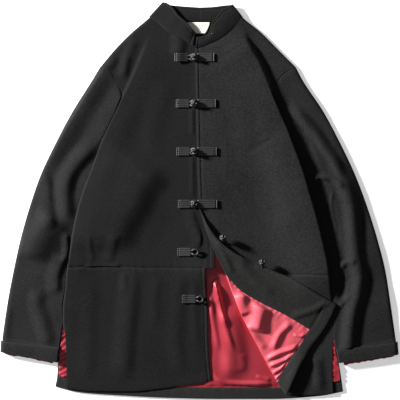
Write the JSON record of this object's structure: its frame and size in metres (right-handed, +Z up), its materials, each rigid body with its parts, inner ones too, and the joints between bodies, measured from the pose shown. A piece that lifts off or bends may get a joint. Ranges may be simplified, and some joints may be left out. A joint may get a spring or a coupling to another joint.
{
  "type": "tang jacket",
  "caption": "Dark wool Chinese-style jacket laid flat, standing collar and knotted cord frogs, one lower front corner turned back to show its red satin lining.",
  "frame": {"origin": "centre of the plan outline, on the surface that the jacket lies on", "axes": "+Z up out of that surface, +Y towards the collar, +X towards the wearer's left sleeve"},
  "size_m": [0.798, 0.7939, 0.0203],
  "materials": {
    "wool": "brushed dark grey wool, matt",
    "collar_wool": "the same wool, firm with interlining, matt",
    "facing_wool": "the same wool on the facings and hems, matt",
    "lining": "crimson satin, glossy with soft creases",
    "label": "plain cream woven label, matt",
    "frog_cord": "black corded satin, slightly glossy"
  },
  "bodies": {
    "root": {"back": "wool", "back_hem": "facing_wool", "back_lining": "lining", "collar_left": "collar_wool", "collar_right": "collar_wool", "cuff_left": "wool", "cuff_right": "wool", "flap_cloth": "wool", "flap_facing": "facing_wool", "flap_hem": "facing_wool", "flap_lining": "lining", "frog_knot_1": "frog_cord", "frog_knot_2": "frog_cord", "frog_knot_3": "frog_cord", "frog_knot_4": "frog_cord", "frog_knot_5": "frog_cord", "frog_knot_6": "frog_cord", "frog_knot_tab_1": "frog_cord", "frog_knot_tab_2": "frog_cord", "frog_knot_tab_3": "frog_cord", "frog_knot_tab_4": "frog_cord", "frog_loop_1": "frog_cord", "frog_loop_2": "frog_cord", "frog_loop_3": "frog_cord", "frog_loop_4": "frog_cord", "frog_loop_5": "frog_cord", "frog_loop_6": "frog_cord", "frog_loop_tab_1": "frog_cord", "frog_loop_tab_2": "frog_cord", "frog_loop_tab_3": "frog_cord", "frog_loop_tab_4": "frog_cord", "frog_loop_tab_5": "frog_cord", "frog_loop_tab_6": "frog_cord", "front_left_lower": "wool", "front_left_upper": "wool", "front_right_lower": "wool", "front_right_upper": "wool", "neck_label": "label", "sleeve_left": "wool", "sleeve_lining_left": "lining", "sleeve_lining_right": "lining", "sleeve_right": "wool", "underlap": "wool"}
  },
  "joints": []
}
